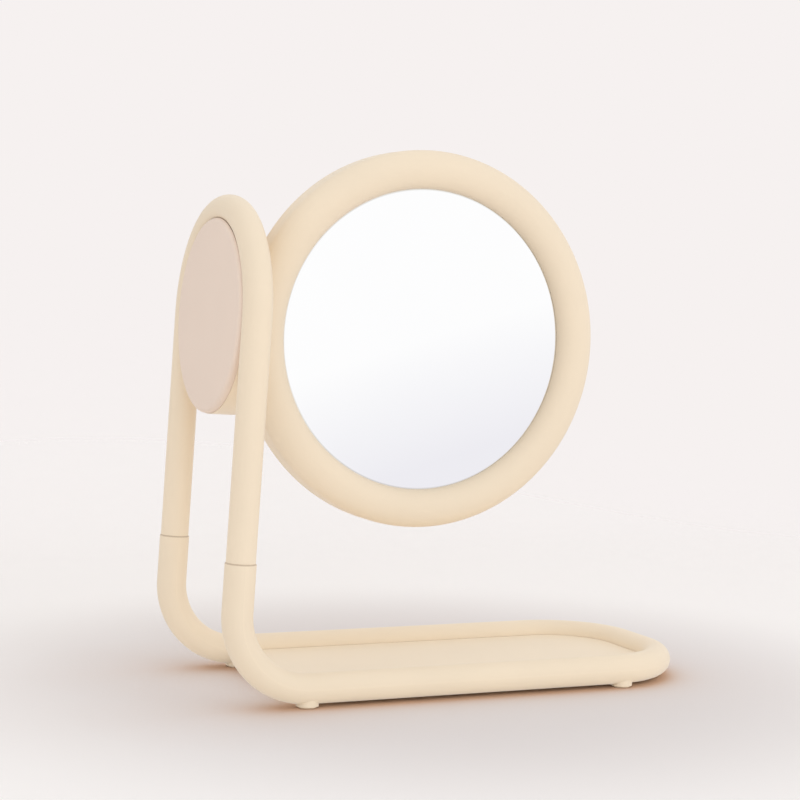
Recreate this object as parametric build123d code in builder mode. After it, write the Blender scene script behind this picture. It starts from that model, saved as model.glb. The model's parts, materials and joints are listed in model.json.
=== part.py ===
from build123d import *
from math import cos, radians, sin, sqrt, tan
import os

os.makedirs("parts", exist_ok=True)

# A dressing-table mirror. A round framed mirror is carried from one side by a leaning
# tubular hoop, and the hoop stands on a tubular tray. The mirror turns all the way
# round on a pivot inside the round drum that fills the top of the hoop.
# X runs along the tray from the hoop to the front bar, Y across it, Z up.
# The origin is on the table, under the middle of the object. Lengths are in mm.

# ---- driving dimensions: tube frame
overall_length = 260.0      # back of the two bends to the outside of the front bar
leg_spacing = 104.0         # between the centre lines of the two legs
hoop_height = 243.0         # table to the top of the hoop
hoop_lean = 2.85            # degrees that the hoop leans over the tray
hoop_tube_diameter = 14.1
base_tube_diameter = 15.0   # a little fatter, so that it frames the hoop's ends
tube_wall = 2.0             # of the hoop; the base has the same bore
bend_radius = 36.0          # centre line, leg into side rail
corner_radius = 40.0        # centre line, side rail into front bar
seam_height = 70.3          # where the hoop plugs on to the base
seam_chamfer = 0.4
spigot_reach = 18.0         # length of a leg spigot on each side of its seam
spigot_chamfer = 1.0

# ---- driving dimensions: feet and tray
rail_lift = 1.6             # table to the underside of the rails
foot_diameter = 11.0
rear_foot_inset = 0.0       # foot centre past the bend, on the straight rail
front_foot_outset = 2.5     # foot centre past the straight rail, into the corner
pad_diameter = 9.0
pad_thickness = 1.6
pad_show = 0.8              # part of a pad that stands below its boss
pad_chamfer = 0.3
foot_boss_height = 4.0      # from its underside up into the rail
pillar_diameter = 7.5       # screw pillars inside the rails
pillar_sink = 0.8           # of the pillars into the tube's wall
ledge_drop = 1.5            # tube's parting line down to the ledge that carries the tray
ledge_width = 7.0
ledge_sink = 1.5            # of the ledge into the tube's wall
ledge_thickness = 2.0
tray_thickness = 2.0
tray_lip_height = 1.2       # low bead along the tray's rear edge
tray_lip_thickness = 2.5
tray_lip_round = 1.0
stake_diameter = 3.0        # pins that fix the tray to the ledge
stake_head = 1.0
rib_thickness = 1.5
rib_height = 3.0
cross_ribs = 4

# ---- driving dimensions: drum
drum_diameter = 95.6
drum_back = 9.3             # hoop plane to the drum's face on the mirror side
drum_floor = 2.4
drum_edge_round = 1.5
cavity_diameter = 80.5
plate_reveal = 0.4          # of the drum's wall, outside the plate's rim
plate_seat = 4.0            # hoop plane to the back of the face plate
plate_thickness = 3.4       # at its rim
plate_wall = 2.0            # over the cavity
plate_scoop_gap = 0.25      # round the hoop, under the plate's rim
plate_edge_round = 2.2
plate_skirt_wall = 1.6
plate_skirt_depth = 3.0
hoop_screw_angles = (30, 90, 150)

# ---- driving dimensions: pivot, measured along the mirror's axis from the hoop plane
arm_droop = 2.6             # degrees that the axis points down from the hoop's normal
shaft_diameter = 12.0
thread_diameter = 8.0
neck_diameter = 16.0
bush_wall = 2.0
bush_flange_diameter = 26.0
bush_flange_thickness = 1.8
flange_sink = 0.7           # the flange is let into the drum's back by this much
boss_wall = 4.0
bush_inner_end = 3.2
washer_diameter = 24.0
washer_thickness = 1.0
thrust_washer_thickness = 0.8
spring_diameter = 18.0
spring_height = 1.8
spring_thickness = 0.6
nut_width = 13.0            # across flats
nut_thickness = 3.0
thread_show = 0.6           # thread past the nut
arm_block_width = 28.0
arm_block_length = 9.0
arm_block_front = 6.0       # from the axis towards the glass
arm_block_rear = 6.0
arm_screw_spacing = 18.0
arm_block_corner = 1.5

# ---- driving dimensions: mirror
ring_diameter = 190.8
glass_opening = 152.0
ring_depth = 24.5
glass_setback = 7.5         # front of the ring to the glass
ring_gap = 2.2              # drum to ring
glass_cover = 1.4           # glass hidden behind the lip, all round
glass_thickness = 3.0
pad_foam_thickness = 1.0
shell_wall = 2.0
rear_round_depth = 6.3      # depth of the rounding behind the straight outer wall
back_recess = 3.0
skirt_depth = 3.0           # of the bezel's wall that reaches into the rear shell
skirt_wall = 1.5
snap_height = 0.3           # bead on that wall
snap_half_width = 0.6
support_rings = (24.0, 46.0, 70.0)
support_wall = 2.0
support_spokes = 8
glass_edge_chamfer = 0.4
arm_boss_diameter = 6.0

# ---- driving dimensions: screws and clearances
screw_diameter = 2.9
screw_head_diameter = 5.2
screw_head_height = 1.8
screw_hole_clearance = 0.1  # on the diameter
screw_seat_depth = 0.4      # of the hoop screws' heads, let into the drum's wall
screw_bite = 1.2            # hoop screw past the tube's wall
fit = 0.1                   # radial, between pieces that are pushed together
running_gap = 0.3           # along the axis, between what turns and what stands still
bore_clearance = 0.08       # radial, shaft in bush
cut_past = 1.0              # how far a cut runs past the face that it opens

# ---- places worked out from those
hoop_radius = hoop_tube_diameter / 2
base_radius = base_tube_diameter / 2
bore_radius = hoop_radius - tube_wall
half_spacing = leg_spacing / 2
rail_z = rail_lift + base_radius
bend_run = bend_radius * tan(radians(90 + hoop_lean) / 2)
corner_x = bend_radius + base_radius - bend_run - overall_length / 2
bar_x = overall_length / 2 - base_radius
rail_start_x = corner_x + bend_run
rail_end_x = bar_x - corner_radius

lean = radians(hoop_lean)
hoop_normal = Vector(cos(lean), 0, -sin(lean))
leg_up = Vector(sin(lean), 0, cos(lean))
hoop_plane = Plane(origin=(corner_x, 0, rail_z), x_dir=(0, 1, 0), z_dir=hoop_normal)
seam_up = (seam_height - rail_z) / cos(lean)
arch_up = (hoop_height - hoop_radius - rail_z) / cos(lean) - half_spacing

pivot_point = hoop_plane.from_local_coords(Vector(0, arch_up, 0))
drum_plane = Plane(origin=pivot_point, x_dir=(0, 1, 0), z_dir=hoop_normal)
tilt = radians(hoop_lean + arm_droop)
pivot_axis = Vector(cos(tilt), 0, -sin(tilt))
pivot_plane = Plane(origin=pivot_point, x_dir=(0, 1, 0), z_dir=pivot_axis)

ring_radius = ring_diameter / 2
arm_length = drum_back + ring_gap + ring_radius
mirror_centre = pivot_point + pivot_axis * arm_length
towards_viewer = Vector(0, -1, 0)
ring_plane = Plane(origin=mirror_centre, x_dir=pivot_axis, z_dir=towards_viewer)
ring_section = Plane(
    origin=mirror_centre, x_dir=pivot_axis, z_dir=pivot_axis.cross(towards_viewer)
)
ring_axis = Axis(mirror_centre, towards_viewer)


def leg_plane(side):
    """Plane square across one leg at the seam, with Z up the leg."""
    seam_point = hoop_plane.from_local_coords(Vector(side * half_spacing, seam_up, 0))
    return Plane(origin=seam_point, x_dir=hoop_normal, z_dir=leg_up)


leg_planes = [leg_plane(-1), leg_plane(1)]
foot_places = [
    (x, side * half_spacing, 0)
    for x in (rail_start_x + rear_foot_inset, rail_end_x + front_foot_outset)
    for side in (-1, 1)
]


def save(builder, label):
    """Label a finished piece and write it."""
    builder.part.label = label
    export_step(builder.part, f"parts/{label}.step")


# ---- upper hoop: one bent tube, open at both ends
with BuildLine(hoop_plane) as hoop_path:
    near_leg = Line((-half_spacing, seam_up), (-half_spacing, arch_up))
    arch = ThreePointArc(
        near_leg @ 1, (0, arch_up + half_spacing), (half_spacing, arch_up)
    )
    Line(arch @ 1, (half_spacing, seam_up))


def hoop_screw_plane(angle, distance):
    """Plane across a screw that points out from the drum into the hoop."""
    direction = Vector(cos(radians(angle)), sin(radians(angle)), 0)
    place = drum_plane.from_local_coords(direction * distance)
    return Plane(origin=place, x_dir=hoop_normal, z_dir=place - pivot_point)


cavity_radius = cavity_diameter / 2
screw_seat_radius = cavity_radius + screw_seat_depth
screw_hole_radius = screw_diameter / 2 + screw_hole_clearance / 2
hoop_inner_wall = half_spacing - bore_radius
hoop_screw_length = hoop_inner_wall + screw_bite - screw_seat_radius

with BuildPart() as upper_hoop:
    with BuildSketch(leg_planes[0]):
        Circle(hoop_radius)
        Circle(bore_radius, mode=Mode.SUBTRACT)
    sweep(path=hoop_path.line)
    tube_ends = upper_hoop.edges().filter_by(GeomType.CIRCLE).group_by(Axis.Z)[0]
    chamfer(tube_ends.group_by(SortBy.LENGTH)[-1], seam_chamfer)
    for angle in hoop_screw_angles:
        with BuildSketch(hoop_screw_plane(angle, screw_seat_radius)):
            Circle(screw_hole_radius)
        extrude(amount=half_spacing - screw_seat_radius, mode=Mode.SUBTRACT)
save(upper_hoop, "upper_hoop")

# ---- leg spigots: the plugs that join the hoop to the base
with BuildPart() as leg_spigots:
    with Locations(*leg_planes):
        Cylinder(bore_radius - fit, 2 * spigot_reach)
    spigot_ends = leg_spigots.edges().filter_by(GeomType.CIRCLE)
    chamfer(spigot_ends, spigot_chamfer)
save(leg_spigots, "leg_spigots")

# ---- base tube: leg stub, bend, side rail, front bar and back again, on one centre line
stub_tops = [plane.origin for plane in leg_planes]
base_corners = [
    stub_tops[0],
    Vector(corner_x, -half_spacing, rail_z),
    Vector(bar_x, -half_spacing, rail_z),
    Vector(bar_x, half_spacing, rail_z),
    Vector(corner_x, half_spacing, rail_z),
    stub_tops[1],
]
base_radii = [bend_radius, corner_radius, corner_radius, bend_radius]

with BuildLine() as base_path:
    FilletPolyline(*base_corners, radius=base_radii)

with BuildPart() as base_tube:
    with BuildSketch(Plane(origin=stub_tops[0], x_dir=hoop_normal, z_dir=-leg_up)):
        Circle(base_radius)
        Circle(bore_radius, mode=Mode.SUBTRACT)
    sweep(path=base_path.line)
    stub_ends = base_tube.edges().filter_by(GeomType.CIRCLE).group_by(Axis.Z)[-1]
    chamfer(stub_ends.group_by(SortBy.LENGTH)[-1], seam_chamfer)

# The two halves part along the tube's own centre line, seen from the side.
region_top = seam_height + base_tube_diameter
region_end = overall_length
leg_foot_xz = (corner_x, rail_z)
leg_top_xz = (corner_x + (region_top - rail_z) * tan(lean), region_top)

with BuildSketch(Plane.XZ) as inner_side:
    with BuildLine():
        FilletPolyline(leg_top_xz, leg_foot_xz, (region_end, rail_z), radius=bend_radius)
        Polyline((region_end, rail_z), (region_end, region_top), leg_top_xz)
    make_face()

pillar_radius = pillar_diameter / 2
pilot_top = rail_z + bore_radius

with BuildPart() as base_upper_shell:
    add(base_tube.part)
    extrude(inner_side.sketch, amount=leg_spacing, both=True, mode=Mode.INTERSECT)
    with BuildSketch(Plane.XY.offset(rail_z)):
        with Locations(*foot_places):
            Circle(pillar_radius)
    extrude(amount=bore_radius + pillar_sink)
    with BuildSketch(Plane.XY.offset(rail_z)):
        with Locations(*foot_places):
            Circle(screw_hole_radius)
    extrude(amount=bore_radius, mode=Mode.SUBTRACT)
save(base_upper_shell, "base_upper_shell")


def tray_outline(inset):
    """Tray opening between the rails, drawn in by inset, square at the rear."""
    front_x = bar_x - base_radius - inset
    rear_x = rail_start_x + max(inset, 0)
    width = leg_spacing - base_tube_diameter - 2 * inset
    with Locations(((front_x + rear_x) / 2, 0)):
        outline = Rectangle(front_x - rear_x, width)
    fillet(
        outline.vertices().group_by(Axis.X)[-1], corner_radius - base_radius - inset
    )


tray_length = bar_x - base_radius - rail_start_x
stake_run = tray_length / 3
stake_span = leg_spacing - base_tube_diameter - ledge_width
stake_centre = Location(((rail_start_x + bar_x - base_radius) / 2, 0, 0))
stake_radius = stake_diameter / 2
head_seat_z = pad_thickness + screw_head_height + fit
ledge_z = rail_z - ledge_drop

with BuildPart() as base_lower_shell:
    add(base_tube.part)
    extrude(inner_side.sketch, amount=leg_spacing, both=True, mode=Mode.SUBTRACT)
    with BuildSketch(Plane.XY.offset(ledge_z)):
        tray_outline(-ledge_sink)
    extrude(amount=-ledge_thickness)
    with BuildSketch(Plane.XY.offset(ledge_z)):
        tray_outline(ledge_width)
    extrude(amount=-ledge_thickness, mode=Mode.SUBTRACT)
    with BuildSketch(Plane.XY.offset(pad_show)):
        with Locations(*foot_places):
            Circle(foot_diameter / 2)
    extrude(amount=foot_boss_height)
    with BuildSketch(Plane.XY.offset(rail_lift)):
        with Locations(*foot_places):
            Circle(pillar_radius)
    extrude(amount=base_radius)
    with BuildSketch(Plane.XY.offset(pad_show)):
        with Locations(*foot_places):
            Circle(pad_diameter / 2 + fit)
    extrude(amount=pad_thickness - pad_show, mode=Mode.SUBTRACT)
    with BuildSketch(Plane.XY.offset(pad_thickness)):
        with Locations(*foot_places):
            Circle(screw_head_diameter / 2 + fit)
    extrude(amount=screw_head_height + fit, mode=Mode.SUBTRACT)
    with BuildSketch(Plane.XY.offset(head_seat_z)):
        with Locations(*foot_places):
            Circle(screw_hole_radius)
    extrude(amount=rail_z - head_seat_z, mode=Mode.SUBTRACT)
    with BuildSketch(Plane.XY.offset(ledge_z)):
        with Locations(stake_centre):
            with GridLocations(stake_run, stake_span, 3, 2):
                Circle(stake_radius + fit)
    extrude(amount=-ledge_thickness, mode=Mode.SUBTRACT)
save(base_lower_shell, "base_lower_shell")

# ---- base screws: from under the feet into the upper shell
with BuildPart() as base_screws:
    with BuildSketch(Plane.XY.offset(head_seat_z - screw_head_height)):
        with Locations(*foot_places):
            Circle(screw_head_diameter / 2)
    extrude(amount=screw_head_height)
    with BuildSketch(Plane.XY.offset(head_seat_z)):
        with Locations(*foot_places):
            Circle(screw_diameter / 2)
    extrude(amount=pilot_top - head_seat_z - fit)
save(base_screws, "base_screws")

# ---- foot pads: they hide the screws and keep the base off the table
with BuildPart() as foot_pads:
    with BuildSketch():
        with Locations(*foot_places):
            Circle(pad_diameter / 2)
    extrude(amount=pad_thickness)
    chamfer(foot_pads.edges().group_by(Axis.Z)[0], pad_chamfer)
save(foot_pads, "foot_pads")

# ---- tray panel: rests on the ledge, with a low lip at its rear edge and ribs below
lip_top = tray_thickness + tray_lip_height
lip_width = leg_spacing - base_tube_diameter - 2 * fit
rib_span = lip_width - 2 * ledge_width
rib_run = tray_length - 2 * ledge_width - 2 * fit

with BuildPart() as tray_panel:
    with BuildSketch(Plane.XY.offset(ledge_z)):
        tray_outline(fit)
    extrude(amount=tray_thickness)
    with BuildSketch(Plane.XY.offset(ledge_z)):
        with Locations((rail_start_x + fit + tray_lip_thickness / 2, 0)):
            Rectangle(tray_lip_thickness, lip_width)
    extrude(amount=lip_top)
    lip_edges = tray_panel.edges().group_by(Axis.Z)[-1].filter_by(Axis.Y)
    fillet(lip_edges, tray_lip_round)
    with BuildSketch(Plane.XY.offset(ledge_z)):
        with Locations(stake_centre):
            with GridLocations(rib_run / cross_ribs, 0, cross_ribs - 1, 1):
                Rectangle(rib_thickness, rib_span)
            with GridLocations(0, rib_span / 3, 1, 2):
                Rectangle(rib_run, rib_thickness)
    extrude(amount=-rib_height)
    with BuildSketch(Plane.XY.offset(ledge_z)):
        with Locations(stake_centre):
            with GridLocations(stake_run, stake_span, 3, 2):
                Circle(stake_radius)
    extrude(amount=-ledge_thickness - stake_head)
    with BuildSketch(Plane.XY.offset(ledge_z - ledge_thickness)):
        with Locations(stake_centre):
            with GridLocations(stake_run, stake_span, 3, 2):
                Circle(stake_radius + stake_head)
    extrude(amount=-stake_head)
save(tray_panel, "tray_panel")

# ---- drum housing: an open cup let on to the hoop, with the pivot boss in its floor
drum_radius = drum_diameter / 2
shaft_radius = shaft_diameter / 2
bush_radius = shaft_radius + bore_clearance + bush_wall
flange_radius = bush_flange_diameter / 2
flange_seat = drum_back - flange_sink
neck_start = flange_seat + bush_flange_thickness + running_gap
saddle_radius = hoop_radius + fit

with BuildLine(hoop_plane) as saddle_path:
    saddle_leg = Line(
        (-half_spacing, arch_up - drum_diameter), (-half_spacing, arch_up)
    )
    saddle_arch = ThreePointArc(
        saddle_leg @ 1, (0, arch_up + half_spacing), (half_spacing, arch_up)
    )
    Line(saddle_arch @ 1, (half_spacing, arch_up - drum_diameter))

saddle_start = Plane(origin=saddle_leg @ 0, x_dir=hoop_normal, z_dir=leg_up)

with BuildPart() as drum_housing:
    with BuildSketch(drum_plane.offset(-plate_seat)):
        Circle(drum_radius)
    extrude(amount=plate_seat + drum_back)
    back_rim = drum_housing.faces().sort_by(Axis(pivot_point, hoop_normal))[-1].edges()
    fillet(back_rim, drum_edge_round)
    with BuildSketch(drum_plane.offset(drum_back - drum_floor)):
        Circle(cavity_radius)
    extrude(amount=-(plate_seat + drum_back), mode=Mode.SUBTRACT)
    with BuildSketch(pivot_plane.offset(bush_inner_end)):
        Circle(bush_radius + boss_wall)
    extrude(amount=drum_back - bush_inner_end - drum_floor / 2)
    with BuildSketch(pivot_plane.offset(bush_inner_end - cut_past)):
        Circle(bush_radius + fit)
    extrude(amount=drum_back + 2 * cut_past, mode=Mode.SUBTRACT)
    with BuildSketch(pivot_plane.offset(flange_seat)):
        Circle(flange_radius + running_gap)
    extrude(amount=drum_back, mode=Mode.SUBTRACT)
    with BuildSketch(saddle_start):
        Circle(saddle_radius)
        with Locations((-drum_radius / 2, 0)):
            Rectangle(drum_radius, 2 * saddle_radius)
    sweep(path=saddle_path.line, mode=Mode.SUBTRACT)
    for angle in hoop_screw_angles:
        with BuildSketch(hoop_screw_plane(angle, screw_seat_radius)):
            Circle(screw_hole_radius)
        extrude(amount=half_spacing - screw_seat_radius, mode=Mode.SUBTRACT)
        with BuildSketch(hoop_screw_plane(angle, screw_seat_radius)):
            Circle(screw_head_diameter / 2 + fit)
        extrude(amount=-2 * screw_head_height, mode=Mode.SUBTRACT)
save(drum_housing, "drum_housing")

# ---- hoop screws: from inside the drum into the wall of the hoop
with BuildPart() as hoop_screws:
    for angle in hoop_screw_angles:
        with BuildSketch(hoop_screw_plane(angle, screw_seat_radius)):
            Circle(screw_head_diameter / 2)
        extrude(amount=-screw_head_height)
        with BuildSketch(hoop_screw_plane(angle, screw_seat_radius)):
            Circle(screw_diameter / 2)
        extrude(amount=hoop_screw_length)
save(hoop_screws, "hoop_screws")

# ---- drum face plate: it closes the cup flush with the hoop, its rim scooped to the tube
plate_skirt_radius = cavity_radius - fit
plate_hollow_radius = plate_skirt_radius - plate_skirt_wall

with BuildPart() as drum_face_plate:
    with BuildSketch(drum_plane.offset(-plate_seat)):
        Circle(drum_radius - plate_reveal)
    extrude(amount=-plate_thickness)
    front_rim = drum_face_plate.faces().sort_by(Axis(pivot_point, hoop_normal))[0].edges()
    fillet(front_rim, plate_edge_round)
    with BuildSketch(drum_plane.offset(-plate_seat)):
        Circle(plate_skirt_radius)
        Circle(plate_hollow_radius, mode=Mode.SUBTRACT)
    extrude(amount=plate_skirt_depth)
    with BuildSketch(drum_plane.offset(-plate_seat)):
        Circle(plate_hollow_radius)
    extrude(amount=plate_wall - plate_thickness, mode=Mode.SUBTRACT)
    with BuildSketch(saddle_start):
        Circle(hoop_radius + plate_scoop_gap)
    sweep(path=saddle_path.line, mode=Mode.SUBTRACT)
    for angle in hoop_screw_angles:
        with BuildSketch(hoop_screw_plane(angle, plate_hollow_radius - cut_past)):
            Rectangle(2 * plate_seat, 2 * screw_head_diameter)
        extrude(amount=plate_skirt_wall + 2 * cut_past, mode=Mode.SUBTRACT)
save(drum_face_plate, "drum_face_plate")

# ---- pivot bush: flanged bearing in the housing's boss
with BuildPart() as pivot_bush:
    with BuildSketch(pivot_plane.offset(bush_inner_end)):
        Circle(bush_radius)
    extrude(amount=flange_seat - bush_inner_end)
    with BuildSketch(pivot_plane.offset(flange_seat)):
        Circle(flange_radius)
    extrude(amount=bush_flange_thickness)
    with BuildSketch(pivot_plane.offset(bush_inner_end)):
        Circle(shaft_radius + bore_clearance)
    extrude(amount=drum_back, mode=Mode.SUBTRACT)
save(pivot_bush, "pivot_bush")

# ---- pivot stack on the shaft, from the bush towards the face plate
washer_outer = bush_inner_end - running_gap
thrust_outer = washer_outer - washer_thickness
spring_outer = thrust_outer - thrust_washer_thickness
nut_outer = spring_outer - spring_height
nut_inner = nut_outer - nut_thickness
thread_radius = thread_diameter / 2

with BuildPart() as friction_washer:
    with BuildSketch(pivot_plane.offset(washer_outer)):
        Circle(washer_diameter / 2)
        Circle(shaft_radius + fit, mode=Mode.SUBTRACT)
    extrude(amount=-washer_thickness)
save(friction_washer, "friction_washer")

with BuildPart() as thrust_washer:
    with BuildSketch(pivot_plane.offset(thrust_outer)):
        Circle(washer_diameter / 2)
        Circle(shaft_radius + fit, mode=Mode.SUBTRACT)
    extrude(amount=-thrust_washer_thickness)
save(thrust_washer, "thrust_washer")

# The disc spring is a shallow cone: wide end on the washer, narrow end on the nut.
spring_section = Plane(
    origin=pivot_point, x_dir=(0, 1, 0), z_dir=Vector(0, 1, 0).cross(pivot_axis)
)
spring_inner_radius = thread_radius + fit
spring_outer_radius = spring_diameter / 2

with BuildPart() as disc_spring:
    with BuildSketch(spring_section):
        with BuildLine():
            Polyline(
                (spring_outer_radius, spring_outer),
                (spring_outer_radius, spring_outer - spring_thickness),
                (spring_inner_radius, nut_outer),
                (spring_inner_radius, nut_outer + spring_thickness),
                close=True,
            )
        make_face()
    revolve(axis=Axis(pivot_point, pivot_axis))
save(disc_spring, "disc_spring")

with BuildPart() as lock_nut:
    with BuildSketch(pivot_plane.offset(nut_outer)):
        RegularPolygon(nut_width / 2, 6, major_radius=False)
        Circle(thread_radius + fit / 2, mode=Mode.SUBTRACT)
    extrude(amount=-nut_thickness)
save(lock_nut, "lock_nut")

# ---- pivot arm: shaft, neck and the block that the ring's shells close over
hollow_radius = ring_radius - shell_wall
block_half = arm_block_width / 2
skirt_inner_radius = hollow_radius - fit - skirt_wall
block_start = arm_length - sqrt(skirt_inner_radius**2 - block_half**2) + running_gap
block_end = block_start + arm_block_length
arm_screw_along = (block_start + block_end) / 2
arm_screw_places = [
    (arm_screw_along - arm_length, side * arm_screw_spacing / 2) for side in (-1, 1)
]

with BuildPart() as pivot_arm:
    with BuildSketch(pivot_plane.offset(nut_inner - thread_show)):
        Circle(thread_radius)
    extrude(amount=spring_outer - nut_inner + thread_show)
    with BuildSketch(pivot_plane.offset(spring_outer)):
        Circle(shaft_radius)
    extrude(amount=neck_start - spring_outer)
    with BuildSketch(pivot_plane.offset(neck_start)):
        Circle(neck_diameter / 2)
    extrude(amount=block_start - neck_start)
    with BuildSketch(pivot_plane.offset(block_start)):
        with Locations(((arm_block_rear - arm_block_front) / 2, 0)):
            RectangleRounded(arm_block_front + arm_block_rear, arm_block_width, arm_block_corner)
    extrude(amount=arm_block_length)
    with BuildSketch(ring_plane.offset(arm_block_front)):
        with Locations(*arm_screw_places):
            Circle(screw_hole_radius)
    extrude(amount=-(arm_block_front + arm_block_rear), mode=Mode.SUBTRACT)
save(pivot_arm, "pivot_arm")

# ---- mirror ring section, in (radius, depth); depth is 0 on the pivot axis
opening_radius = glass_opening / 2
ring_mid_radius = (ring_radius + opening_radius) / 2
ring_half_width = (ring_radius - opening_radius) / 2
ring_front = ring_depth / 2
glass_front = ring_front - glass_setback
rear_round_start = rear_round_depth - ring_front
pad_rear = glass_front - glass_thickness - pad_foam_thickness
panel_outer = back_recess - ring_front
panel_inner = panel_outer + shell_wall
glass_radius = opening_radius + glass_cover
pocket_radius = glass_radius + fit
skirt_outer_radius = hollow_radius - fit
snap_depth = -skirt_depth / 2
neck_hole_length = block_start - neck_start + shell_wall

# ---- mirror bezel: the rounded front of the ring, with the lip over the glass.
# Half of the hole for the arm's neck is in this shell, half in the rear one.
with BuildPart() as mirror_bezel:
    with BuildSketch(ring_section):
        with BuildLine():
            outside = EllipticalCenterArc(
                (ring_mid_radius, glass_front),
                ring_half_width,
                glass_setback,
                arc_size=180,
            )
            inside = EllipticalCenterArc(
                (ring_mid_radius, glass_front),
                ring_half_width - shell_wall,
                glass_setback - shell_wall,
                arc_size=180,
            )
            Line(outside @ 1, inside @ 1)
            Polyline(
                outside @ 0,
                (ring_radius, 0),
                (skirt_outer_radius, 0),
                (skirt_outer_radius, snap_depth + snap_half_width),
                (skirt_outer_radius + snap_height, snap_depth),
                (skirt_outer_radius, snap_depth - snap_half_width),
                (skirt_outer_radius, -skirt_depth),
                (skirt_inner_radius, -skirt_depth),
                (skirt_inner_radius, skirt_wall),
                (hollow_radius, 2 * skirt_wall),
                inside @ 0,
            )
        make_face()
    revolve(axis=ring_axis)
    with BuildSketch(pivot_plane.offset(neck_start)):
        Circle(neck_diameter / 2 + fit)
    extrude(amount=neck_hole_length, mode=Mode.SUBTRACT)
save(mirror_bezel, "mirror_bezel")

# ---- mirror rear shell: the rounded back of the ring, a recessed back panel,
# a pocket for the glass, rings and spokes under it, and bosses for the pivot arm
with BuildPart() as mirror_rear_shell:
    with BuildSketch(ring_section):
        with BuildLine():
            outside = EllipticalCenterArc(
                (ring_mid_radius, rear_round_start),
                ring_half_width,
                rear_round_depth,
                arc_size=-180,
            )
            inside = EllipticalCenterArc(
                (ring_mid_radius, rear_round_start),
                ring_half_width - shell_wall,
                rear_round_depth - shell_wall,
                arc_size=-180,
            )
            Line(outside @ 1, inside @ 1)
            Polyline(
                outside @ 0,
                (ring_radius, 0),
                (hollow_radius, 0),
                (hollow_radius, snap_depth + snap_half_width),
                (hollow_radius + snap_height, snap_depth),
                (hollow_radius, snap_depth - snap_half_width),
                inside @ 0,
            )
        make_face()
    revolve(axis=ring_axis)
    with BuildSketch(ring_plane.offset(panel_outer)):
        Circle(pocket_radius)
    extrude(amount=shell_wall)
    with BuildSketch(ring_plane.offset(panel_inner)):
        Circle(pocket_radius + support_wall)
        Circle(pocket_radius, mode=Mode.SUBTRACT)
    extrude(amount=glass_front - fit - panel_inner)
    with BuildSketch(ring_plane.offset(panel_inner)):
        for radius in support_rings:
            Circle(radius)
            Circle(radius - support_wall, mode=Mode.SUBTRACT)
        with PolarLocations(pocket_radius / 2, support_spokes):
            Rectangle(pocket_radius, support_wall)
    extrude(amount=pad_rear - panel_inner)
    with BuildSketch(ring_plane.offset(-arm_block_rear)):
        with Locations(*arm_screw_places):
            Circle(arm_boss_diameter / 2)
    extrude(amount=arm_block_rear - ring_front + shell_wall / 2)
    with BuildSketch(ring_plane.offset(-arm_block_rear)):
        with Locations(*arm_screw_places):
            Circle(screw_hole_radius)
    extrude(amount=arm_block_rear - ring_front + shell_wall, mode=Mode.SUBTRACT)
    with BuildSketch(pivot_plane.offset(neck_start)):
        Circle(neck_diameter / 2 + fit)
    extrude(amount=neck_hole_length, mode=Mode.SUBTRACT)
save(mirror_rear_shell, "mirror_rear_shell")

# ---- arm screws: through the block into those bosses
arm_screw_length = arm_block_front + ring_front - shell_wall - fit

with BuildPart() as arm_screws:
    with BuildSketch(ring_plane.offset(arm_block_front)):
        with Locations(*arm_screw_places):
            Circle(screw_head_diameter / 2)
    extrude(amount=screw_head_height)
    with BuildSketch(ring_plane.offset(arm_block_front)):
        with Locations(*arm_screw_places):
            Circle(screw_diameter / 2)
    extrude(amount=-arm_screw_length)
save(arm_screws, "arm_screws")

# ---- mirror glass and the foam pad behind it
with BuildPart() as mirror_glass:
    with BuildSketch(ring_plane.offset(glass_front)):
        Circle(glass_radius)
    extrude(amount=-glass_thickness)
    chamfer(mirror_glass.edges().filter_by(GeomType.CIRCLE), glass_edge_chamfer)
save(mirror_glass, "mirror_glass")

with BuildPart() as glass_foam_pad:
    with BuildSketch(ring_plane.offset(glass_front - glass_thickness)):
        Circle(opening_radius)
    extrude(amount=-pad_foam_thickness)
save(glass_foam_pad, "glass_foam_pad")
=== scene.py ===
# %% [markdown]
# A dressing-table mirror, dressed for its photograph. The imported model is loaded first
# and stays put: it is the jig that everything below is built on. Blender works in
# metres, so a millimetre is written as 0.001, and the name MM keeps that short.

import json
from math import cos, pi, radians, sin

import bpy
from mathutils import Matrix, Vector


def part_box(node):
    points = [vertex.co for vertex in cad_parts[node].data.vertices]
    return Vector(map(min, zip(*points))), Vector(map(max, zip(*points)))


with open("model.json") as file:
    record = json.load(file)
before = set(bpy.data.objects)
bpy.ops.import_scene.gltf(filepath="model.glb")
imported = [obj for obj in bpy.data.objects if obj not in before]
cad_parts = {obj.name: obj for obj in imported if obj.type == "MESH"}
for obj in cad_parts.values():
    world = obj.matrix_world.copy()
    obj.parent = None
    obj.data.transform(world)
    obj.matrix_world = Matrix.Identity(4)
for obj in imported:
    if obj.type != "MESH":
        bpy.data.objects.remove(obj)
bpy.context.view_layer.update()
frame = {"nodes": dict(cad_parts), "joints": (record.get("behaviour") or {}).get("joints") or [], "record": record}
MM = 0.001

# %% [markdown]
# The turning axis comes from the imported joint, so nothing about it is typed twice. The
# glass is a disc, so the middle of its box is the middle of the mirror, and half of the
# box's height is its radius.

# %% Places that the finishes need
turn = next(j for j in frame["joints"] if j["name"] == "mirror_turn")
pivot_point = Vector(turn["pos_m"])


def node_box(node):
    """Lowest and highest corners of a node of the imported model."""
    low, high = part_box(node)
    return Vector(low), Vector(high)


glass_low, glass_high = node_box("mirror_glass")
mirror_centre = (glass_low + glass_high) / 2
glass_radius = (glass_high.z - glass_low.z) / 2
print("mirror centre (mm):", [round(v / MM, 1) for v in mirror_centre])
print("glass radius (mm):", round(glass_radius / MM, 1))

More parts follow.
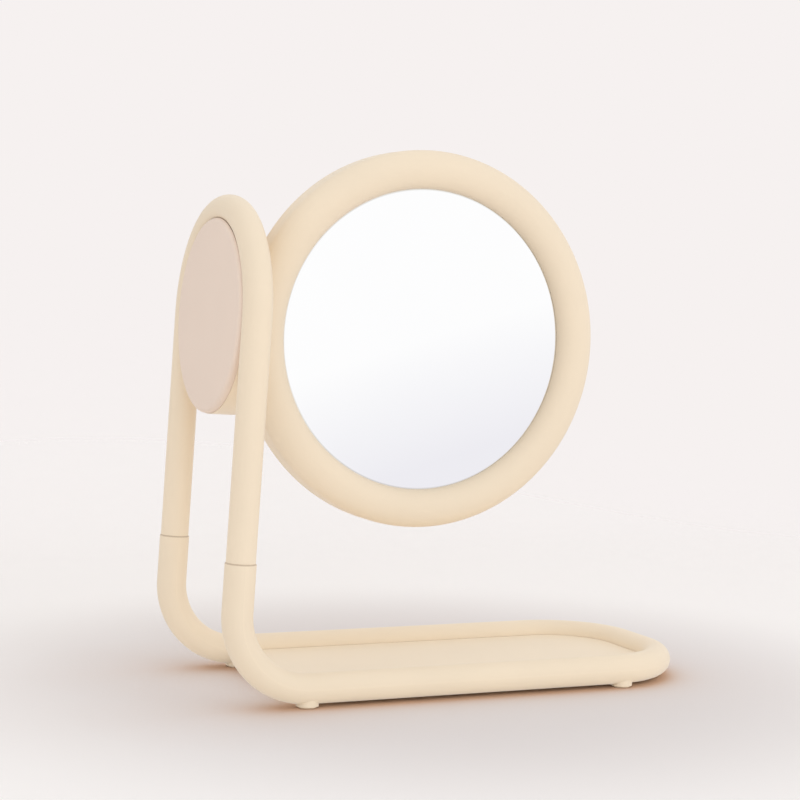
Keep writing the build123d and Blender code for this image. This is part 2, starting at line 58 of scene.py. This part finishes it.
# %% [markdown]
# The camera stands where the photographer's did. Its place was found by fitting the
# object's known outlines to the photograph: the view comes 24 degrees round from the
# left of straight ahead and 4 degrees from above, and the camera leans by 1.5 degrees.
# The picture was cropped a little off the lens's middle, and a small shift repeats that.

# %% Camera
picture_size = 800
focal_length_px = 1959.1
sensor_width_mm = 36.0
view_turn = radians(23.54)
view_drop = radians(4.41)
camera_lean = radians(1.47)
camera_distance = 0.995
aim_point = Vector((-0.02373, 0, 0.125))
aim_px = Vector((391.47, 435.53))

look = Vector(
    (
        sin(view_turn) * cos(view_drop),
        cos(view_turn) * cos(view_drop),
        -sin(view_drop),
    )
)
level_right = look.cross(Vector((0, 0, 1))).normalized()
level_up = level_right.cross(look)
camera_right = level_right * cos(camera_lean) + level_up * sin(camera_lean)
camera_up = level_up * cos(camera_lean) - level_right * sin(camera_lean)

camera_data = bpy.data.cameras.new("photo_camera")
camera_data.sensor_width = sensor_width_mm
camera_data.lens = camera_data.sensor_width * focal_length_px / picture_size
camera_data.shift_x = 0.5 - aim_px.x / picture_size
camera_data.shift_y = aim_px.y / picture_size - 0.5
camera_data.clip_start = 0.05
camera = bpy.data.objects.new("photo_camera", camera_data)
bpy.context.collection.objects.link(camera)
facing = Matrix((camera_right, camera_up, -look)).transposed().to_4x4()
camera.matrix_world = Matrix.Translation(aim_point - look * camera_distance) @ facing
bpy.context.scene.camera = camera
print("lens (mm):", round(camera_data.lens, 1), "shift:", round(camera_data.shift_x, 3))

# %% [markdown]
# A material is a small network of nodes, and long networks are hard to read in code.
# Three helpers keep them short: one starts a material, one adds a node and sets its
# plain values by the names that Blender shows, and one turns the 0 to 255 numbers that
# a picture shows into the linear colours that a renderer counts in.

# %% Helpers for materials
def new_material(name):
    """Material with its shader joined to its output, and nothing else."""
    material = bpy.data.materials.new(name)
    material.use_nodes = True
    tree = material.node_tree
    tree.nodes.clear()
    shader = tree.nodes.new("ShaderNodeBsdfPrincipled")
    output = tree.nodes.new("ShaderNodeOutputMaterial")
    tree.links.new(shader.outputs["BSDF"], output.inputs["Surface"])
    return material, tree, shader


def add_node(tree, kind, **values):
    """Node of a kind, with values given by the name of the input they belong to."""
    node = tree.nodes.new("ShaderNode" + kind)
    for name, value in values.items():
        node.inputs[name.replace("_", " ")].default_value = value
    return node


def linear(red, green, blue):
    """Linear colour from the numbers that a picture shows."""
    channels = [c / 255 for c in (red, green, blue)]
    curve = [c / 12.92 if c <= 0.04045 else ((c + 0.055) / 1.055) ** 2.4 for c in channels]
    return (*curve, 1.0)


def shade(colour, share):
    """The same colour, lighter or darker by a share."""
    return [min(c * share, 1) for c in colour[:3]] + [1]


print("mid grey in linear light:", round(linear(128, 128, 128)[0], 3))

# %% [markdown]
# A moulding is never one flat colour. The pigment drifts by a few percent over
# centimetres, which a soft, large noise gives. It could be painted, but noise in object
# coordinates needs no unwrapping and stays put when the mirror turns.

# %% Slow drift of a moulding's colour
drift_waves = 14.0
drift_darkest, drift_palest = 0.98, 1.01


def drifting_colour(tree, place, colour):
    """Colour that drifts a little over centimetres."""
    drift = add_node(tree, "TexNoise", Scale=drift_waves, Detail=2.0)
    tree.links.new(place, drift.inputs["Vector"])
    tones = tree.nodes.new("ShaderNodeValToRGB")
    low, high = tones.color_ramp.elements
    low.position, high.position = 0.35, 0.65
    low.color = shade(colour, drift_darkest)
    high.color = shade(colour, drift_palest)
    tree.links.new(drift.outputs["Fac"], tones.inputs["Fac"])
    return tones.outputs["Color"]


print("drift size (mm):", round(1 / drift_waves / MM))

# %% [markdown]
# Handled edges go paler and smoother. Geometry's Pointiness tells how sharply the mesh
# turns at a point, so a band of its values picks out outward corners and nothing else.

# %% Worn edges
wear_start, wear_full = 0.52, 0.60
wear_share = 0.35
wear_tone = 1.06


def worn_edges(tree, colour_in, colour):
    """Mix a paler tone in where the surface turns a corner."""
    corners = add_node(tree, "NewGeometry")
    wear = add_node(
        tree, "MapRange", From_Min=wear_start, From_Max=wear_full, To_Max=wear_share
    )
    tree.links.new(corners.outputs["Pointiness"], wear.inputs["Value"])
    paler = tree.nodes.new("ShaderNodeMixRGB")
    paler.inputs["Color2"].default_value = shade(colour, wear_tone)
    tree.links.new(wear.outputs["Result"], paler.inputs["Fac"])
    tree.links.new(colour_in, paler.inputs["Color1"])
    return paler.outputs["Color"]


print("wear starts at pointiness", wear_start)

# %% [markdown]
# Where two mouldings meet, the joint reads as a thin brown line, because little light
# gets in. That shade is painted into the colour: Ambient Occlusion with a reach of about a
# millimetre finds such places, also between separate objects, which Pointiness can't do.

# %% Painted shade in seams
seam_reach = 1.4 * MM
seam_closed, seam_open = 0.15, 0.62
seam_shade_share = 0.6
seam_shade_tone = linear(128, 92, 62)


def painted_seam_shade(tree, colour_in):
    """Painted shade: darken and warm the colour in cracks narrower than about the reach."""
    # Painted shade: occlusion finds the cracks, and the colour goes darker and browner there.
    nook = add_node(tree, "AmbientOcclusion", Distance=seam_reach)
    nook.samples = 4
    closed = add_node(
        tree,
        "MapRange",
        From_Min=seam_closed,
        From_Max=seam_open,
        To_Min=seam_shade_share,
        To_Max=0.0,
    )
    tree.links.new(nook.outputs["AO"], closed.inputs["Value"])
    painted_shade_mix = tree.nodes.new("ShaderNodeMixRGB")
    painted_shade_mix.inputs["Color2"].default_value = seam_shade_tone
    tree.links.new(closed.outputs["Result"], painted_shade_mix.inputs["Fac"])
    tree.links.new(colour_in, painted_shade_mix.inputs["Color1"])
    return painted_shade_mix.outputs["Color"]


print("seam reach (mm):", seam_reach / MM)

# %% [markdown]
# The hoop plugs on to the base on a plane square across both legs. Its groove is only
# half a millimetre wide, too fine for occlusion to show well, so its shade is painted by
# place instead: a dark line wherever the skin lies within a hair of that plane.

# %% Painted shade line between hoop and base
hoop_lean = radians(2.85)
hoop_tube_radius = 7.05 * MM
seam_half_width = 0.35 * MM
groove_shade_share = 0.38
groove_shade_tone = linear(120, 84, 54)

hoop_low = node_box("upper_hoop")[0]
base_high = node_box("base_upper_shell")[1]
leg_up = Vector((sin(hoop_lean), 0, cos(hoop_lean)))
seam_point = Vector(
    (hoop_low.x + hoop_tube_radius * cos(hoop_lean), 0, (hoop_low.z + base_high.z) / 2)
)


def painted_groove_shade(tree, place, colour_in):
    """Paint the groove's shade as a dark line between hoop and base."""
    height = tree.nodes.new("ShaderNodeVectorMath")
    height.operation = "DOT_PRODUCT"
    height.inputs[1].default_value = leg_up
    tree.links.new(place, height.inputs[0])
    away = tree.nodes.new("ShaderNodeMath")
    away.operation = "COMPARE"
    away.inputs[1].default_value = seam_point.dot(leg_up)
    away.inputs[2].default_value = seam_half_width
    tree.links.new(height.outputs["Value"], away.inputs[0])
    # Painted shade: the line darkens the colour where the groove's shade falls.
    share = add_node(tree, "MapRange", To_Max=groove_shade_share)
    tree.links.new(away.outputs["Value"], share.inputs["Value"])
    painted_shade_mix = tree.nodes.new("ShaderNodeMixRGB")
    painted_shade_mix.inputs["Color2"].default_value = groove_shade_tone
    tree.links.new(share.outputs["Result"], painted_shade_mix.inputs["Fac"])
    tree.links.new(colour_in, painted_shade_mix.inputs["Color1"])
    return painted_shade_mix.outputs["Color"]


print("seam height (mm):", round(seam_point.z / MM, 1))

# %% [markdown]
# A spark-eroded mould leaves a satin grain of a few tenths of a millimetre. The same
# noise drives roughness and a very low bump, so the grain's tops shine a little more
# than its hollows, as on the real skin.

# %% Grain of the mould
polish_swing = 0.05


def mould_grain(tree, place, shader, roughness, grain, height):
    """Satin grain: noise of a given size, as roughness and as bump."""
    noise = add_node(tree, "TexNoise", Scale=1 / grain, Detail=3.0, Roughness=0.55)
    tree.links.new(place, noise.inputs["Vector"])
    polish = add_node(
        tree,
        "MapRange",
        From_Min=0.3,
        From_Max=0.7,
        To_Min=roughness - polish_swing,
        To_Max=roughness + polish_swing,
    )
    tree.links.new(noise.outputs["Fac"], polish.inputs["Value"])
    tree.links.new(polish.outputs["Result"], shader.inputs["Roughness"])
    bump = add_node(tree, "Bump", Strength=1.0, Distance=height)
    tree.links.new(noise.outputs["Fac"], bump.inputs["Height"])
    tree.links.new(bump.outputs["Normal"], shader.inputs["Normal"])


print("roughness swings by", polish_swing, "either way")

# %% [markdown]
# Nearly all of the object is one cream plastic. The drum's face is a separate cover of the
# same cream plastic, a little duller; its pinker colour is painted shade, for a face turned
# away from the light. The bush and washer are a slick natural nylon. One function makes
# all three from a colour, a roughness and a grain.

# %% Moulded plastics
plastic_ior = 1.45


def moulded_plastic(name, colour, roughness, grain, height):
    """Satin plastic with drift, worn edges, painted seam shade and mould grain."""
    material, tree, shader = new_material(name)
    place = add_node(tree, "TexCoord").outputs["Object"]
    skin = drifting_colour(tree, place, colour)
    skin = worn_edges(tree, skin, colour)
    skin = painted_seam_shade(tree, skin)
    skin = painted_groove_shade(tree, place, skin)
    tree.links.new(skin, shader.inputs["Base Color"])
    mould_grain(tree, place, shader, roughness, grain, height)
    shader.inputs["IOR"].default_value = plastic_ior
    return material


cream_plastic = moulded_plastic(
    "cream_plastic", linear(243, 227, 203), roughness=0.46, grain=0.35 * MM, height=0.008 * MM
)
# Painted shade: the face's colour is the cream made pinker, as the face turns from the light.
face_plastic = moulded_plastic(
    "face_plastic", linear(240, 222, 208), roughness=0.55, grain=0.30 * MM, height=0.010 * MM
)
bush_plastic = moulded_plastic(
    "bush_plastic", linear(236, 222, 201), roughness=0.32, grain=0.50 * MM, height=0.004 * MM
)
print("plastics:", cream_plastic.name, face_plastic.name, bush_plastic.name)

# %% [markdown]
# The foot pads are soft plastic buttons that must not slide. Their mould is left rougher
# than the tubes' mould: the same grain function, with a coarser grain, a deeper bump and
# a duller surface, gives that grip.

# %% Foot pads
foot_rubber, rubber_tree, rubber_shader = new_material("foot_rubber")
rubber_place = add_node(rubber_tree, "TexCoord").outputs["Object"]
rubber_colour = linear(238, 217, 190)
rubber_skin = drifting_colour(rubber_tree, rubber_place, rubber_colour)
rubber_skin = worn_edges(rubber_tree, rubber_skin, rubber_colour)
rubber_tree.links.new(rubber_skin, rubber_shader.inputs["Base Color"])
mould_grain(
    rubber_tree, rubber_place, rubber_shader, roughness=0.68, grain=0.6 * MM, height=0.03 * MM
)
rubber_shader.inputs["IOR"].default_value = plastic_ior
print("pads:", foot_rubber.name)

# %% [markdown]
# The mirror is float glass silvered on its back. A full model needs a clear pane with
# silver behind it. From outside only two things show: a nearly perfect reflection, and a
# thin dark line at the lip, which is the lip's shade and the glass's own edge seen through
# the pane. A metal shader gives the first; the second is painted, a darker band drawn by
# the distance from the mirror's middle.

# %% Silvered glass
silvered_glass, glass_tree, glass_shader = new_material("silvered_glass")
glass_shader.inputs["Metallic"].default_value = 1.0
lip_cover = 1.4 * MM
rim_shade_width = 0.9 * MM
rim_shade_share = 0.45
opening_radius = glass_radius - lip_cover

glass_place = add_node(glass_tree, "TexCoord").outputs["Object"]
from_middle = glass_tree.nodes.new("ShaderNodeVectorMath")
from_middle.operation = "SUBTRACT"
from_middle.inputs[1].default_value = mirror_centre
glass_tree.links.new(glass_place, from_middle.inputs[0])
flat = glass_tree.nodes.new("ShaderNodeVectorMath")
flat.operation = "MULTIPLY"
flat.inputs[1].default_value = (1, 0, 1)
glass_tree.links.new(from_middle.outputs["Vector"], flat.inputs[0])
reach = glass_tree.nodes.new("ShaderNodeVectorMath")
reach.operation = "LENGTH"
glass_tree.links.new(flat.outputs["Vector"], reach.inputs[0])
# Painted shade and reflection: a darker band just inside the lip, where the lip's shade falls and the glass's edge
# shows through.
rim_shade_mask = add_node(
    glass_tree,
    "MapRange",
    From_Min=opening_radius - rim_shade_width,
    From_Max=opening_radius,
    To_Max=rim_shade_share,
)
glass_tree.links.new(reach.outputs["Value"], rim_shade_mask.inputs["Value"])

wipe_waves = 9.0
haze_roughness = 0.02
wiping = add_node(glass_tree, "TexNoise", Scale=wipe_waves, Detail=3.0)
glass_tree.links.new(glass_place, wiping.inputs["Vector"])
silver = glass_tree.nodes.new("ShaderNodeValToRGB")
silver.color_ramp.elements[0].color = linear(251, 251, 252)
silver.color_ramp.elements[1].color = linear(255, 255, 255)
glass_tree.links.new(wiping.outputs["Fac"], silver.inputs["Fac"])
rim_shade_mix = glass_tree.nodes.new("ShaderNodeMixRGB")
rim_shade_mix.inputs["Color2"].default_value = linear(168, 160, 132)
glass_tree.links.new(rim_shade_mask.outputs["Result"], rim_shade_mix.inputs["Fac"])
glass_tree.links.new(silver.outputs["Color"], rim_shade_mix.inputs["Color1"])
glass_tree.links.new(rim_shade_mix.outputs["Color"], glass_shader.inputs["Base Color"])
haze = add_node(glass_tree, "MapRange", From_Min=0.4, From_Max=0.8, To_Max=haze_roughness)
glass_tree.links.new(wiping.outputs["Fac"], haze.inputs["Value"])
glass_tree.links.new(haze.outputs["Result"], glass_shader.inputs["Roughness"])
print("clear glass across (mm):", round(2 * opening_radius / MM, 1))

# %% [markdown]
# Screws, washers, spring and nut are zinc-plated steel: a dull, slightly blue metal whose
# plating grows in fine crystals. They sit inside, so the drift of colour, worn corners
# and a grain much finer than the plastic's are enough.

# %% Zinc-plated steel
zinc_steel, steel_tree, steel_shader = new_material("zinc_steel")
steel_shader.inputs["Metallic"].default_value = 1.0
steel_place = add_node(steel_tree, "TexCoord").outputs["Object"]
steel_colour = linear(196, 198, 202)
steel_skin = drifting_colour(steel_tree, steel_place, steel_colour)
steel_skin = worn_edges(steel_tree, steel_skin, steel_colour)
steel_tree.links.new(steel_skin, steel_shader.inputs["Base Color"])
mould_grain(
    steel_tree, steel_place, steel_shader, roughness=0.34, grain=0.15 * MM, height=0.004 * MM
)
print("metal:", zinc_steel.name)

# %% [markdown]
# A disc of dark foam presses the glass against the bezel's lip. Foam is open cells: a
# Voronoi pattern of half a millimetre, used as bump and as colour, shows the pores.

# %% Foam
foam, foam_tree, foam_shader = new_material("foam")
foam_place = add_node(foam_tree, "TexCoord").outputs["Object"]
cell_size = 0.5 * MM
cell_depth = 0.1 * MM
cells = add_node(foam_tree, "TexVoronoi", Scale=1 / cell_size)
foam_tree.links.new(foam_place, cells.inputs["Vector"])
pores = foam_tree.nodes.new("ShaderNodeValToRGB")
pores.color_ramp.elements[0].color = linear(38, 38, 40)
pores.color_ramp.elements[1].color = linear(84, 84, 87)
foam_tree.links.new(cells.outputs["Distance"], pores.inputs["Fac"])
foam_tree.links.new(pores.outputs["Color"], foam_shader.inputs["Base Color"])
foam_bump = add_node(foam_tree, "Bump", Strength=1.0, Distance=cell_depth)
foam_tree.links.new(cells.outputs["Distance"], foam_bump.inputs["Height"])
foam_tree.links.new(foam_bump.outputs["Normal"], foam_shader.inputs["Normal"])
foam_shader.inputs["Roughness"].default_value = 0.95
print("foam cells (mm):", cell_size / MM)

# %% [markdown]
# The record names a material slot for each node, so the finishes are handed out by that
# list. A piece can't be forgotten this way, and a wrong name stops the script.

# %% Hand out the finishes
finishes = {
    "cream_plastic": cream_plastic,
    "face_plastic": face_plastic,
    "bush_plastic": bush_plastic,
    "mirror_glass": silvered_glass,
    "steel": zinc_steel,
    "foam": foam,
    "foot_rubber": foot_rubber,
}
for subpart in frame["record"]["subparts"]:
    for slot in frame["nodes"][subpart["node"]].material_slots:
        slot.material = finishes[subpart["material_slot"]]

# %% [markdown]
# A roll of pale paper makes the table and the background in one: flat under the object,
# then bent up behind it. A bend has no corner line to draw the eye. Its profile is a
# short list of points, and the mesh is that profile pulled sideways.

# %% Paper sweep
floor_front = -1.6
floor_back = 0.95
bend_radius = 0.5
wall_height = 2.2
half_width = 2.4
bend_steps = 24

profile = [(floor_front, 0.0)]
for step in range(bend_steps + 1):
    angle = (pi / 2) * step / bend_steps
    bend_y = floor_back - bend_radius * (1 - sin(angle))
    bend_z = bend_radius * (1 - cos(angle))
    profile.append((bend_y, bend_z))
profile.append((floor_back, wall_height))

paper_mesh = bpy.data.meshes.new("paper_sweep")
corners = [(side * half_width, y, z) for y, z in profile for side in (-1, 1)]
strips = [(2 * i, 2 * i + 1, 2 * i + 3, 2 * i + 2) for i in range(len(profile) - 1)]
paper_mesh.from_pydata(corners, [], strips)
for polygon in paper_mesh.polygons:
    polygon.use_smooth = True
paper = bpy.data.objects.new("paper_sweep", paper_mesh)
bpy.context.collection.objects.link(paper)
print("paper strips:", len(strips))

# %% [markdown]
# The paper is a soft grey-pink near the object and fades to a paler tone away from it,
# by the distance from the middle. Close under the object a warm tan shadow is painted on
# it, for the object's shade and the cream plastic's bounce light: ambient occlusion with
# a reach of eight centimetres tells how close.
# Only the camera sees these tones. The light that the paper gives back to the object
# comes from one plain white, or the pinks would add up on the rails' undersides.

# %% Paper's colour and painted shadow
near_tone = linear(229, 224, 224)
far_tone = linear(253, 251, 251)
cream_bounce_tone = linear(206, 166, 136)
plain_bounce_tone = linear(249, 245, 242)
fade_start, fade_end = 0.12, 0.32
bounce_reach = 0.08
shadow_closed, shadow_open = 0.4, 0.97
painted_shadow_most = 0.9

paper_material, paper_tree, paper_shader = new_material("paper")
paper_shader.inputs["Roughness"].default_value = 0.95
paper_place = add_node(paper_tree, "TexCoord").outputs["Object"]
paper_reach = paper_tree.nodes.new("ShaderNodeVectorMath")
paper_reach.operation = "LENGTH"
paper_tree.links.new(paper_place, paper_reach.inputs[0])
fade = add_node(paper_tree, "MapRange", From_Min=fade_start, From_Max=fade_end)
fade.interpolation_type = "SMOOTHSTEP"
paper_tree.links.new(paper_reach.outputs["Value"], fade.inputs["Value"])
paper_tone = paper_tree.nodes.new("ShaderNodeMixRGB")
paper_tone.inputs["Color1"].default_value = near_tone
paper_tone.inputs["Color2"].default_value = far_tone
paper_tree.links.new(fade.outputs["Result"], paper_tone.inputs["Fac"])

# Painted shadow: the paper goes warm tan where the object closes over it, for its shade and the cream's bounce
# light.
shadow_nearness = add_node(paper_tree, "AmbientOcclusion", Distance=bounce_reach)
shadow_nearness.samples = 8
painted_shadow_share = add_node(
    paper_tree,
    "MapRange",
    From_Min=shadow_closed,
    From_Max=shadow_open,
    To_Min=painted_shadow_most,
    To_Max=0.0,
)
paper_tree.links.new(shadow_nearness.outputs["AO"], painted_shadow_share.inputs["Value"])
painted_shadow_mix = paper_tree.nodes.new("ShaderNodeMixRGB")
painted_shadow_mix.inputs["Color2"].default_value = cream_bounce_tone
paper_tree.links.new(painted_shadow_share.outputs["Result"], painted_shadow_mix.inputs["Fac"])
paper_tree.links.new(paper_tone.outputs["Color"], painted_shadow_mix.inputs["Color1"])

seen_by = add_node(paper_tree, "LightPath")
bounce_tone = paper_tree.nodes.new("ShaderNodeMixRGB")
bounce_tone.inputs["Color1"].default_value = plain_bounce_tone
paper_tree.links.new(seen_by.outputs["Is Camera Ray"], bounce_tone.inputs["Fac"])
paper_tree.links.new(painted_shadow_mix.outputs["Color"], bounce_tone.inputs["Color2"])
paper_tree.links.new(bounce_tone.outputs["Color"], paper_shader.inputs["Base Color"])

paper_mesh.materials.append(paper_material)
print("paper fades over (m):", fade_start, "to", fade_end)

# %% [markdown]
# A roll of paper has edges, and near the lamps it is too bright. The eye should meet
# neither from any side, so for the camera the paper thins out to the white room behind
# it, well away from the object and when seen from below. Reflections pass through it
# everywhere, and for every other ray it stays whole, so it keeps catching light.

# %% Paper's edge fades away
def math_node(tree, operation, first, second):
    """Math node between two outputs."""
    node = tree.nodes.new("ShaderNodeMath")
    node.operation = operation
    tree.links.new(first, node.inputs[0])
    tree.links.new(second, node.inputs[1])
    return node.outputs["Value"]


thin_start, thin_end = 0.40, 0.85
thinning = add_node(paper_tree, "MapRange", From_Min=thin_start, From_Max=thin_end)
thinning.interpolation_type = "SMOOTHSTEP"
paper_tree.links.new(paper_reach.outputs["Value"], thinning.inputs["Value"])
paper_side = add_node(paper_tree, "NewGeometry")
hidden = math_node(
    paper_tree, "MAXIMUM", thinning.outputs["Result"], paper_side.outputs["Backfacing"]
)
hidden = math_node(paper_tree, "MULTIPLY", hidden, seen_by.outputs["Is Camera Ray"])
hidden = math_node(paper_tree, "MAXIMUM", hidden, seen_by.outputs["Is Glossy Ray"])

paper_output = next(n for n in paper_tree.nodes if n.type == "OUTPUT_MATERIAL")
nothing = add_node(paper_tree, "BsdfTransparent")
paper_mix = add_node(paper_tree, "MixShader")
paper_tree.links.new(hidden, paper_mix.inputs["Fac"])
paper_tree.links.new(paper_shader.outputs["BSDF"], paper_mix.inputs[1])
paper_tree.links.new(nothing.outputs["BSDF"], paper_mix.inputs[2])
paper_tree.links.new(paper_mix.outputs["Shader"], paper_output.inputs["Surface"])
print("paper thins out over (m):", thin_start, "to", thin_end)

# %% [markdown]
# The studio is a white room. Its light comes evenly from all round, which is why the
# tubes look so flat in tone. What the mirror reflects is the room in front of it: white,
# and below the level of its middle a trace of lilac grey. The world shader knows the
# direction of each ray, so a slanted ramp of that direction draws both.

# %% White room
room_level = 0.94
room_tone = linear(252, 251, 250)
lilac_tone = linear(239, 238, 243)
ramp_width = 0.060

world = bpy.data.worlds.new("studio")
bpy.context.scene.world = world
world.use_nodes = True
world_tree = world.node_tree
world_tree.nodes.clear()
world_output = world_tree.nodes.new("ShaderNodeOutputWorld")
room = add_node(world_tree, "Background", Color=room_tone, Strength=room_level)
ray_direction = add_node(world_tree, "TexCoord").outputs["Generated"]

sight = (mirror_centre - camera.matrix_world.translation).normalized()
bounce = Vector((sight.x, -sight.y, sight.z))
slant = Vector((0.36, 0.0, -0.93))
ramp_value = world_tree.nodes.new("ShaderNodeVectorMath")
ramp_value.operation = "DOT_PRODUCT"
ramp_value.inputs[1].default_value = slant
world_tree.links.new(ray_direction, ramp_value.inputs[0])
ramp_start = bounce.dot(slant)
lilac_share = add_node(
    world_tree, "MapRange", From_Min=ramp_start, From_Max=ramp_start + ramp_width
)
world_tree.links.new(ramp_value.outputs["Value"], lilac_share.inputs["Value"])
reflected = world_tree.nodes.new("ShaderNodeMixRGB")
reflected.inputs["Color1"].default_value = linear(255, 255, 255)
reflected.inputs["Color2"].default_value = lilac_tone
world_tree.links.new(lilac_share.outputs["Result"], reflected.inputs["Fac"])
print("mirror looks towards:", [round(v, 2) for v in bounce])

# %% [markdown]
# The room is dimmer beyond the hoop's side. Only gloss shows that: the left edges of the
# tubes reflect it and look darker than their fronts.

# %% Dimmer side of the room
side_start, side_end = -0.9, 0.1
side_darkest = 0.25
backdrop_tone = linear(246, 241, 240)

axes = add_node(world_tree, "SeparateXYZ")
world_tree.links.new(ray_direction, axes.inputs["Vector"])
side_level = add_node(
    world_tree,
    "MapRange",
    From_Min=side_start,
    From_Max=side_end,
    To_Min=side_darkest,
    To_Max=1.0,
)
world_tree.links.new(axes.outputs["X"], side_level.inputs["Value"])
seen_room = add_node(world_tree, "Background")
world_tree.links.new(reflected.outputs["Color"], seen_room.inputs["Color"])
world_tree.links.new(side_level.outputs["Result"], seen_room.inputs["Strength"])
white_room = add_node(world_tree, "Background", Color=backdrop_tone, Strength=1.0)

world_path = add_node(world_tree, "LightPath")
glossy_mix = add_node(world_tree, "MixShader")
world_tree.links.new(world_path.outputs["Is Glossy Ray"], glossy_mix.inputs["Fac"])
world_tree.links.new(room.outputs["Background"], glossy_mix.inputs[1])
world_tree.links.new(seen_room.outputs["Background"], glossy_mix.inputs[2])
camera_mix = add_node(world_tree, "MixShader")
world_tree.links.new(world_path.outputs["Is Camera Ray"], camera_mix.inputs["Fac"])
world_tree.links.new(glossy_mix.outputs["Shader"], camera_mix.inputs[1])
world_tree.links.new(white_room.outputs["Background"], camera_mix.inputs[2])
world_tree.links.new(camera_mix.outputs["Shader"], world_output.inputs["Surface"])
print("room level:", room_level, "darkest side:", side_darkest)

# %% [markdown]
# Two large, weak softboxes give the object its form: a key from the right and a fill
# from the left that reaches the far leg past the near one. Each is over a metre across
# and about two metres away, so the shadows have no edge. They are hidden from gloss,
# because the photograph's mirror shows no lamp.

# %% Softboxes
def softbox(name, place, size, power):
    """Square area lamp aimed at the mirror."""
    data = bpy.data.lights.new(name, "AREA")
    data.size = size
    data.energy = power
    lamp = bpy.data.objects.new(name, data)
    bpy.context.collection.objects.link(lamp)
    lamp.location = place
    lamp.rotation_euler = (aim_point - Vector(place)).to_track_quat("-Z", "Y").to_euler()
    lamp.visible_glossy = False


softbox("key_softbox", place=(1.0, -1.6, 0.75), size=1.3, power=3.4)
softbox("fill_softbox", place=(-0.7, -1.8, 0.5), size=1.4, power=1.5)
bpy.context.scene.view_settings.view_transform = "Standard"
print("lamps:", [lamp.name for lamp in bpy.data.lights])

# %% Sizes, and the end
print("pivot height (mm):", round(pivot_point.z / MM, 1))
